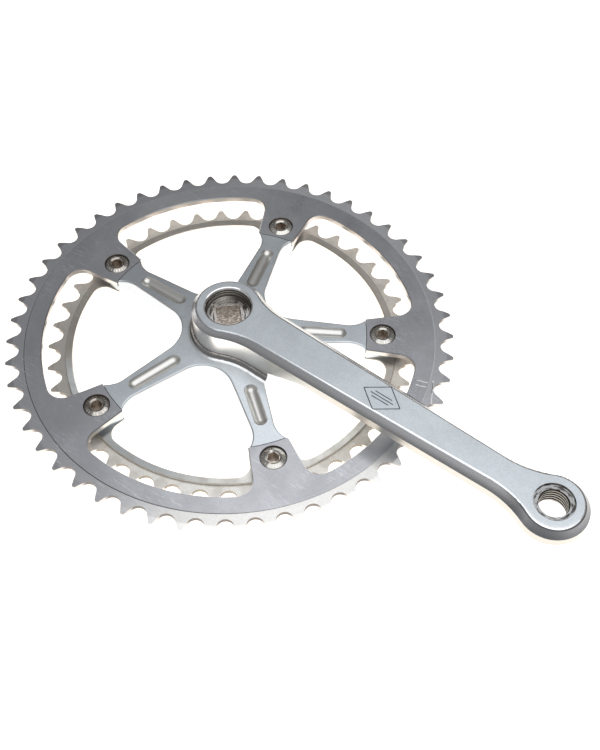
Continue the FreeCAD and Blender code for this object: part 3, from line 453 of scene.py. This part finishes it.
def socket_frame(graph, place):
    """The worn bright border of the square socket, whose flats lie at 45 degrees to the arm."""
    across = graph.math("ADD", graph.math("ABSOLUTE", place.x), graph.math("ABSOLUTE", place.y))
    worn = graph.between(graph.noise(place.vector, 620.0, detail=3.0), 0.3, 0.5)
    return graph.product(graph.band(across, 7.6 * MM, 9.6 * MM, 0.2 * MM), worn,
                         graph.band(place.z, WASHER_SEAT - 0.4 * MM, WASHER_SEAT + 0.6 * MM, 0.3 * MM),
                         graph.between(place.up, 0.5, 0.8))


def eye_rim(graph, place):
    """The polished border of the pedal eye's face, at its outer end and on the side of -Y, where a painted
    highlight goes.
    """
    apart, _ = around_axis(graph, place, CRANK_LENGTH)
    return graph.product(graph.between(apart, 10.5 * MM, 13.2 * MM), graph.between(place.y, 2 * MM, -6 * MM),
                         graph.between(place.x, 160 * MM, 168 * MM), graph.between(place.up, 0.95, 0.99))


def in_pedal_recess(graph, place):
    """The recess around the pedal thread, and the hole under it."""
    apart, _ = around_axis(graph, place, CRANK_LENGTH)
    return graph.product(graph.between(apart, PEDAL_SEAT + 0.35 * MM, PEDAL_SEAT + 0.05 * MM),
                         graph.between(place.z, FACE - 0.2 * MM, FACE - 0.5 * MM))


def recess_marks(graph, place):
    """Dark rubbed arcs in the pedal recess."""
    apart, angle = around_axis(graph, place, CRANK_LENGTH)
    stretched = graph.vector(graph.product(apart, 1100.0), graph.product(angle, 1.6), 4.0)
    arcs = graph.noise(stretched, 1.0, detail=3.0)
    return graph.product(in_pedal_recess(graph, place), graph.between(arcs, 0.48, 0.58))


# Masks for the chainring bolts ----------------------------------------------------------------------

def rim_ticks(graph, place):
    """Short radial strokes on the heads of the chainring bolts."""
    apart, angle = around_bolt(graph, place)
    strokes = graph.between(graph.math("COSINE", graph.product(angle, 22.0)), 0.1, 0.5)
    worn = graph.between(graph.noise(place.vector, 330.0), 0.4, 0.55)
    return graph.product(strokes, worn, graph.band(apart, 4.2 * MM, 5.1 * MM, 0.1 * MM),
                         graph.between(place.z, RING_FACE - 0.8 * MM, RING_FACE - 0.7 * MM))


def in_hexagon(graph, place):
    """Stains inside the bolts' hexagon sockets."""
    apart, _ = around_bolt(graph, place)
    stain = graph.between(graph.noise(place.vector, 900.0, detail=4.0), 0.3, 0.55)
    return graph.product(graph.between(apart, 3.1 * MM, 2.9 * MM),
                         graph.between(place.z, RING_FACE, RING_FACE - 0.2 * MM), stain)


# Metals ---------------------------------------------------------------------------------------------

def crank_metal():
    """Satin aluminium with polished edges, painted highlights on its edges and walls, and painted shade on
    its bevels, foot and holes.
    """
    return metal("crank_satin", (0.78, 0.83, 0.87), 0.37, wear=0.25, grime_and_shade=0.35, mottle=0.14, layers=[
        # Painted reflection: the upright walls near white, as if lit by the pale floor. Painted shade: the
        # boss wall away from the pedal brown, and the walls towards the pedal greyer.
        (on_arm_wall, (0.98, 0.955, 0.92), 0.3),
        (on_hub_wall, (0.44, 0.40, 0.35), 0.3),
        (on_far_wall, (0.66, 0.635, 0.59), 0.3),
        # Painted highlight where the hollow curve runs out into the spider, and painted shade in the hollow
        # curve.
        (beside_foot, (0.86, 0.87, 0.88), 0.22),
        (on_foot, (0.36, 0.35, 0.35), 0.2),
        # Painted shade on the outer bevel, darker low on it and darkest around the pedal eye, and painted
        # light on it towards the pedal.
        (on_outer_bevel, (0.60, 0.61, 0.63), 0.25),
        (towards_pedal, (0.88, 0.89, 0.92), 0.25),
        (on_bevel_foot, (0.28, 0.28, 0.29), 0.25),
        (on_eye_bevel, (0.16, 0.17, 0.19), 0.25),
        # Painted highlight along the polished rounding.
        (face_edge, (1.0, 1.0, 1.0), 0.12),
        # Painted shade on the spider arms away from the pedal.
        (on_spider_face, (0.62, 0.655, 0.69), 0.33),
        # Painted highlight: a pale, warm tone in the spider arms' grooves.
        (in_groove, (0.80, 0.785, 0.75), 0.32),
        # Painted shade inside the extractor hole, with painted highlights on its polished mouth and on the
        # level steps in it.
        (in_extractor_hole, (0.50, 0.48, 0.45), 0.25),
        (on_hole_mouth, (1.0, 1.0, 1.0), 0.15),
        (on_washer_seat, (1.0, 0.97, 0.94), 0.25),
        (seat_rings, (0.10, 0.09, 0.08), 0.4),
        (in_socket, (0.33, 0.29, 0.27), 0.45),
        (socket_frame, (0.98, 0.91, 0.86), 0.25),
        # Painted highlight on the pedal eye's polished border, and painted shade in the recess around the
        # pedal thread.
        (eye_rim, (1.0, 1.0, 1.0), 0.3),
        (in_pedal_recess, (0.40, 0.40, 0.40), 0.2),
        (recess_marks, (0.09, 0.085, 0.08), 0.4),
    ])


def outer_metal():
    """Turned aluminium of the outer ring, with one group of scratches near the crank arm, and painted light
    and shade by direction around the ring.
    """
    teeth = beyond(OUTER_STEP)
    shaded_gap_walls = both(on_side, ring_band(95.5 * MM, 100.4 * MM, 2.2 * MM))
    return metal("outer_ring_satin", (0.575, 0.58, 0.61), 0.28, wear=0.7, grime_and_shade=0.3, layers=[
        (blotches(110.0, 0.45), (0.46, 0.46, 0.49), 0.34),
        (blotches(480.0, 0.4), (0.49, 0.49, 0.52), 0.3),
        (turned_marks(0.14), (0.80, 0.80, 0.80), 0.3),
        # Painted reflection: the ring darker towards one side and lighter towards another.
        (partly(towards(225, 60), 0.3), (0.42, 0.42, 0.45), 0.32),
        (partly(towards(140, 30), 0.35), (0.78, 0.78, 0.78), 0.32),
        (teeth, (0.55, 0.55, 0.575), 0.3),
        # Painted light and shade on the tooth band, lighter or darker by direction around the ring.
        (both(teeth, towards(95, 45)), (0.70, 0.70, 0.72), 0.33),
        (both(teeth, towards(240, 60)), (0.50, 0.50, 0.52), 0.34),
        (both(teeth, towards(322, 50)), (0.88, 0.86, 0.83), 0.3),
        # A painted highlight along the tooth band's step, and a painted shadow line there on one side.
        (step_line(OUTER_STEP), (0.76, 0.76, 0.76), 0.4),
        (both(step_line(OUTER_STEP), towards(245, 85)), (0.08, 0.08, 0.085), 0.5),
        # Painted reflection: upright faces paler and creamier.
        (on_side, (0.76, 0.72, 0.69), 0.34),
        # Painted shade on the walls of the tooth gaps.
        (shaded_gap_walls, (0.25, 0.23, 0.215), 0.5),
        (scratch((86, 30), (90.5, 31.5), 0.42), (0.97, 0.97, 0.97), 0.5),
        (scratch((87, 27.5), (91, 29), 0.42), (0.97, 0.97, 0.97), 0.5),
        (scratch((92, 34), (98, 23), 0.42), (0.97, 0.97, 0.97), 0.5),
        (scratch((92.5, 33), (95, 28), 0.25), (0.10, 0.10, 0.11), 0.5),
    ])


def inner_metal():
    """Warmer, duller aluminium of the inner ring, with painted light and shade by direction around it,
    cooler on the flat inside its tooth band.
    """
    teeth = beyond(INNER_STEP)
    flat = ring_band(60 * MM, 78.2 * MM, 0.2 * MM)
    shaded_gap_walls = both(on_side, ring_band(79.7 * MM, 83.2 * MM, 0.9 * MM))
    return metal("inner_ring_satin", (0.62, 0.57, 0.51), 0.34, wear=0.4, grime_and_shade=0.2, layers=[
        # Painted light: paler and creamier towards one side.
        (partly(towards(322, 70), 0.9), (0.88, 0.865, 0.82), 0.34),
        # Painted shade and a painted highlight, both cooler in tone, on the flat inside the tooth band.
        (both(flat, towards(268, 42)), (0.52, 0.54, 0.54), 0.34),
        (both(flat, towards(238, 16)), (0.86, 0.89, 0.88), 0.34),
        (teeth, (0.84, 0.79, 0.71), 0.5),
        # Painted shade and a painted highlight on the tooth band, by direction around the ring.
        (both(teeth, towards(225, 50)), (0.58, 0.55, 0.51), 0.5),
        (both(teeth, towards(305, 50)), (0.98, 0.95, 0.90), 0.4),
        (blotches(160.0, 0.35), (0.48, 0.43, 0.37), 0.45),
        # A painted shadow line at the tooth band's step.
        (partly(step_line(INNER_STEP), 0.6), (0.20, 0.19, 0.17), 0.5),
        # Painted reflection: upright faces paler and creamier.
        (on_side, (0.88, 0.84, 0.78), 0.36),
        # Painted shade on the walls of the tooth gaps.
        (shaded_gap_walls, (0.34, 0.31, 0.27), 0.5),
    ])


def steel():
    """Nickel-plated steel of the bolts and nuts, with painted shade on the side away from the pedal."""
    return metal("nickel_steel", (0.70, 0.67, 0.62), 0.13, wear=0.2, grime_and_shade=0.3, layers=[
        # Painted shade on the side away from the pedal.
        (partly(towards(205, 115), 0.85), (0.38, 0.345, 0.31), 0.13),
        (rim_ticks, (0.95, 0.93, 0.9), 0.35),
        (in_hexagon, (0.46, 0.39, 0.33), 0.35),
    ])


SHARP_EDGE = math.radians(31)
FLAT_FACE_WEIGHT = 90

looks = {"crank_arm": crank_metal(), "outer_chainring": outer_metal(), "inner_chainring": inner_metal()}
fastener_look = steel()
for name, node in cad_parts.items():
    node.data.materials.clear()
    node.data.materials.append(looks.get(name, fastener_look))
    node.data.polygons.foreach_set("use_smooth", [True] * len(node.data.polygons))
    split = node.modifiers.new("edge_split", "EDGE_SPLIT")
    split.split_angle = SHARP_EDGE
    weighted = node.modifiers.new("weighted_normals", "WEIGHTED_NORMAL")
    weighted.weight = FLAT_FACE_WEIGHT


# Threads and the arm's mark -------------------------------------------------------------------------

def mesh_piece(name, points, faces, material):
    """A new piece that rides with the CAD nodes."""
    mesh = bpy.data.meshes.new(name)
    mesh.from_pydata(points, [], faces)
    mesh.validate()
    mesh.materials.append(material)
    piece = bpy.data.objects.new(name, mesh)
    bpy.context.scene.collection.objects.link(piece)
    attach(piece, "root")


def thread_metal(name, centre, wall, depth):
    """Bright on the crests, with painted shade dark in the roots between them."""
    def in_root(graph, place):
        apart, _ = around_axis(graph, place, centre)
        return graph.between(apart, wall - depth * 0.85, wall - depth * 0.5)

    return metal(name, (0.62, 0.59, 0.55), 0.25, wear=0.2, grime_and_shade=0.5, layers=[
        # Painted shade in the thread's roots.
        (in_root, (0.05, 0.045, 0.04), 0.6),
    ])


def thread(name, centre, wall, depth, pitch, low, high):
    """Helical ridges that stand inwards from a hole's wall. They fade in and out at their ends."""
    # Across a ridge: how far it stands from the wall, and its height in shares of the pitch.
    section = [
        (0.05 * MM, -0.48), (-depth * 0.92, -0.12), (-depth, 0.0), (-depth * 0.92, 0.12), (0.05 * MM, 0.48),
    ]
    steps = 96
    turns = (high - low) / pitch
    count = int(turns * steps)
    points = []
    for step in range(count + 1):
        run = step / steps
        angle = 2 * math.pi * step / steps
        fade = min(1.0, run * 3, (turns - run) * 3)
        for inward, rise in section:
            radius = wall + max(inward, inward * fade)
            z = low + (run + rise * fade) * pitch
            points.append((centre + radius * math.cos(angle), radius * math.sin(angle), z))
    width = len(section)
    faces = [
        (width * s + k, width * (s + 1) + k, width * (s + 1) + k + 1, width * s + k + 1)
        for s in range(count) for k in range(width - 1)
    ]
    mesh_piece(name, points, faces, thread_metal(f"{name}_metal", centre, wall, depth))


thread("extractor_thread", centre=0.0, wall=10.46 * MM, depth=0.42 * MM, pitch=1.5 * MM,
       low=28.6 * MM, high=31.1 * MM)
thread("pedal_thread", centre=CRANK_LENGTH, wall=6.6 * MM, depth=0.55 * MM, pitch=1.7 * MM,
       low=22.9 * MM, high=30.9 * MM)


def engraved_line():
    """Dark paint in the lines of the arm's mark."""
    material = bpy.data.materials.new("engraved_line")
    graph = Graph(material)
    shader = graph.node("ShaderNodeBsdfPrincipled", {
        "Base Color": rgba((0.05, 0.065, 0.085)), "Metallic": 0.6, "Roughness": 0.55,
    })
    graph.node("ShaderNodeOutputMaterial", {"Surface": shader})
    return material


def arm_mark(centre, half_length, half_width):
    """A plain engraved lozenge with three strokes inside, as flat dark lines on the arm's face."""
    line_width, line_gap, lift = 0.42 * MM, 1.5 * MM, 0.02 * MM
    points, faces = [], []

    def stroke(start, end):
        run = (end[0] - start[0], end[1] - start[1])
        size = math.hypot(*run)
        side = (-run[1] / size * line_width / 2, run[0] / size * line_width / 2)
        first = len(points)
        for (x, y), sign in ((start, -1), (end, -1), (end, 1), (start, 1)):
            points.append((centre + x + sign * side[0], y + sign * side[1], FACE + lift))
        faces.append((first, first + 1, first + 2, first + 3))

    corners = [(half_length, 0), (0, half_width), (-half_length, 0), (0, -half_width)]
    for start, end in zip(corners, corners[1:] + corners[:1]):
        stroke(start, end)
    for across in (-line_gap, 0.0, line_gap):
        reach = half_length * 0.62 - abs(across)
        stroke((-reach, across), (reach, across))
    mesh_piece("arm_mark", points, faces, engraved_line())


arm_mark(centre=85.2 * MM, half_length=9.4 * MM, half_width=7.2 * MM)


# Studio ---------------------------------------------------------------------------------------------

def glowing_paper(name, colour, glow):
    """Pale paper with some light of its own, so that the shadow on it stays faint."""
    material = bpy.data.materials.new(name)
    graph = Graph(material)
    paper = graph.node("ShaderNodeBsdfDiffuse", {"Color": rgba(colour)})
    light = graph.node("ShaderNodeEmission", {"Color": rgba(glow), "Strength": 1.0})
    lit_paper = graph.node("ShaderNodeAddShader", {0: paper, 1: light})
    graph.node("ShaderNodeOutputMaterial", {"Surface": lit_paper})
    return material


bpy.ops.mesh.primitive_plane_add(size=6.0, location=(0, 0, -0.2 * MM))
floor = bpy.context.object
floor.name = "floor"
floor.data.materials.append(glowing_paper("pale_floor", (0.92, 0.89, 0.85), (0.97, 0.925, 0.875)))


def studio_walls():
    """Surroundings that are dark near the floor and paler higher up, with a pale wall on the side of -Y."""
    world = bpy.data.worlds.new("studio")
    bpy.context.scene.world = world
    graph = Graph(world)
    direction = graph.node("ShaderNodeTexCoord").outputs["Generated"]
    x, y, z = graph.node("ShaderNodeSeparateXYZ", {0: direction}).outputs
    walls = graph.ramp(z, [
        (0.0, (0.10, 0.09, 0.08)),
        (0.3, (0.15, 0.145, 0.14)),
        (0.5, (0.22, 0.22, 0.22)),
        (0.75, (0.30, 0.305, 0.31)),
        (1.0, (0.36, 0.37, 0.38)),
    ])
    front = graph.between(graph.math("SUBTRACT", graph.product(x, 0.2), y), 0.1, 0.6)
    walls = graph.mix(graph.product(front, graph.between(z, 0.75, 0.5)), walls, (0.36, 0.36, 0.36))
    graph.node("ShaderNodeOutputWorld", {"Surface": graph.node("ShaderNodeBackground", {"Color": walls})})


def softbox(name, centre, size, turn, radiance, colour):
    """A level light panel shining down, its radiance the same whatever its size."""
    light = bpy.data.lights.new(name, "AREA")
    light.shape = "RECTANGLE"
    light.size, light.size_y = size
    light.energy = radiance * math.pi * size[0] * size[1]
    light.color = colour
    lamp = bpy.data.objects.new(name, light)
    lamp.location = centre
    lamp.rotation_euler.z = math.radians(turn)
    bpy.context.scene.collection.objects.link(lamp)


def studio_camera(location, turns, lens):
    """The scene's camera, its turns in degrees and its lens in millimetres on a 36 mm sensor."""
    camera = bpy.data.objects.new("camera", bpy.data.cameras.new("camera"))
    camera.data.sensor_width = 36
    camera.data.lens = lens
    camera.data.clip_start, camera.data.clip_end = 0.01, 20
    camera.location = location
    camera.rotation_euler = [math.radians(turn) for turn in turns]
    bpy.context.scene.collection.objects.link(camera)
    bpy.context.scene.camera = camera


studio_walls()
softbox("overhead_softbox", centre=(0.172, 0.085, 1.0), size=(1.09, 1.19), turn=15.2,
        radiance=1.05, colour=(0.97, 0.985, 1.0))
studio_camera((0.21896, -0.23866, 0.42995), (35.482, -0.081, 36.806), lens=53.52)
bpy.context.scene.view_settings.view_transform = "Standard"
